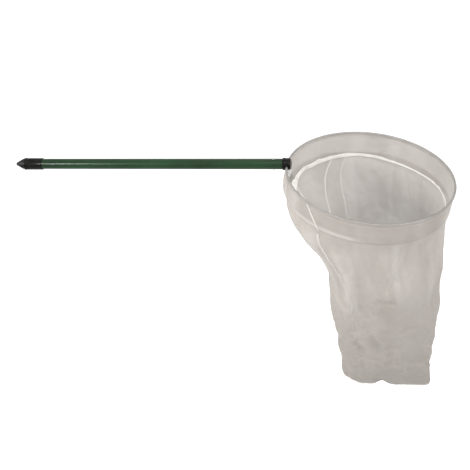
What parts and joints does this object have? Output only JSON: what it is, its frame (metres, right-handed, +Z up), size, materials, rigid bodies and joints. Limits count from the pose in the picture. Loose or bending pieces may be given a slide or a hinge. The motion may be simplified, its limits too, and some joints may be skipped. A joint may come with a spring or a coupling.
{
  "type": "bird catching net",
  "caption": "Hand net for catching birds: coated tube handle with end cap, round wire hoop in a cloth collar, and a deep fine-mesh bag that swings below it.",
  "frame": {"origin": "on the handle's axis where the hand holds it, 435 mm behind the tube's front end", "axes": "+X along the handle towards the hoop, +Z up with the bag hanging down, +Y to the left when looking along +X"},
  "size_m": [0.93, 0.345, 0.6075],
  "materials": {
    "tube_coat": "dark green glossy coating",
    "cap_plastic": "black satin moulding",
    "plug_plastic": "black satin moulding",
    "rivet_metal": "plated",
    "wire_metal": "zinc plated",
    "collar_netting": "fine white knitted mesh, two plies",
    "bag_netting": "fine white knitted mesh, half see-through",
    "seam_netting": "felled mesh seam",
    "hem_tape": "folded white hem"
  },
  "bodies": {
    "frame": {"handle_tube": "tube_coat", "rear_end_cap": "cap_plastic", "front_plug": "plug_plastic", "plug_rivet": "rivet_metal", "hoop_wire": "wire_metal", "rim_collar": "collar_netting", "collar_joint_tape": "hem_tape", "collar_hem": "hem_tape"},
    "bag": {"bag_body": "bag_netting", "bag_side_seam": "seam_netting", "bag_bottom_seam": "seam_netting"}
  },
  "joints": [
    {"name": "bag_swing", "type": "hinge", "parent": "frame", "child": "bag", "pos_m": [0.60285, 0, -0.07825], "axis": [1, 0, 0], "range_deg": [-10, 10]}
  ]
}
